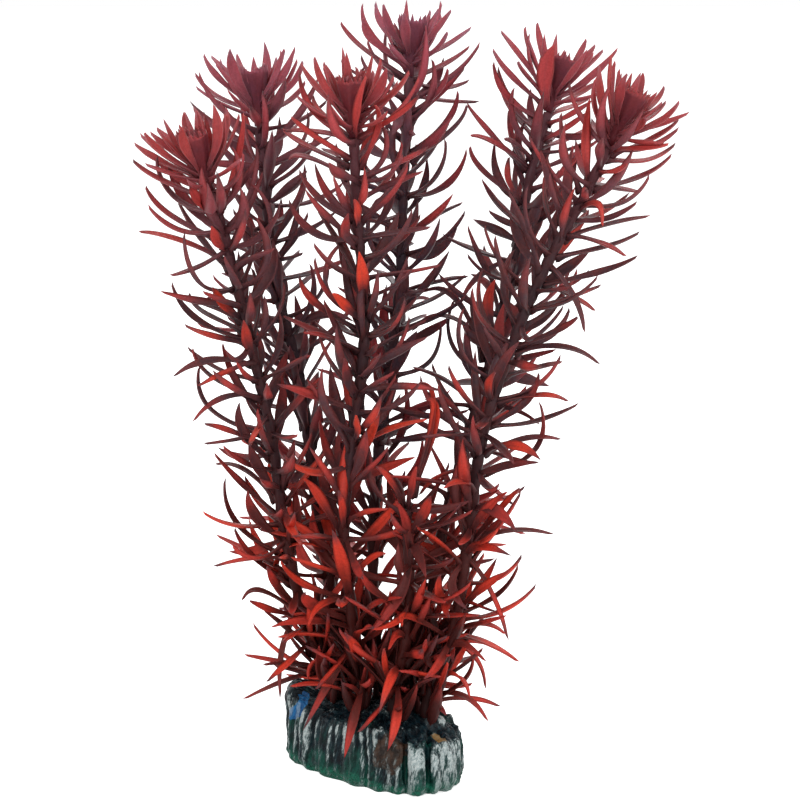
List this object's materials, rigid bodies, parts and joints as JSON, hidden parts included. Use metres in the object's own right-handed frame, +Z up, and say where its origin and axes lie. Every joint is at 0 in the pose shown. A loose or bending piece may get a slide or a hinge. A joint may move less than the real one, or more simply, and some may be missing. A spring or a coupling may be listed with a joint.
{
  "type": "artificial red stargrass plant in a resin rock",
  "caption": "Artificial aquarium plant: tall leafy plastic stems with crown rosettes fan out of an oblong ridged resin rock that stands on its flat foot.",
  "frame": {"origin": "on the flat foot of the rock, at the centre of its oval", "axes": "+Z up out of the rock, the plant's front toward -Y, the taller end of the rock toward -X"},
  "size_m": [0.166, 0.104, 0.2529],
  "materials": {
    "resin": "satin",
    "stem_plastic": "satin",
    "crown_plastic": "satin"
  },
  "bodies": {
    "root": {"rock_base": "resin", "front_left_stem": "stem_plastic", "back_left_stem": "stem_plastic", "front_centre_stem": "stem_plastic", "back_centre_stem": "stem_plastic", "back_right_stem": "stem_plastic", "front_right_stem": "stem_plastic", "short_stem": "stem_plastic", "front_left_crown": "crown_plastic", "back_left_crown": "crown_plastic", "front_centre_crown": "crown_plastic", "back_centre_crown": "crown_plastic", "back_right_crown": "crown_plastic", "front_right_crown": "crown_plastic"}
  },
  "joints": []
}
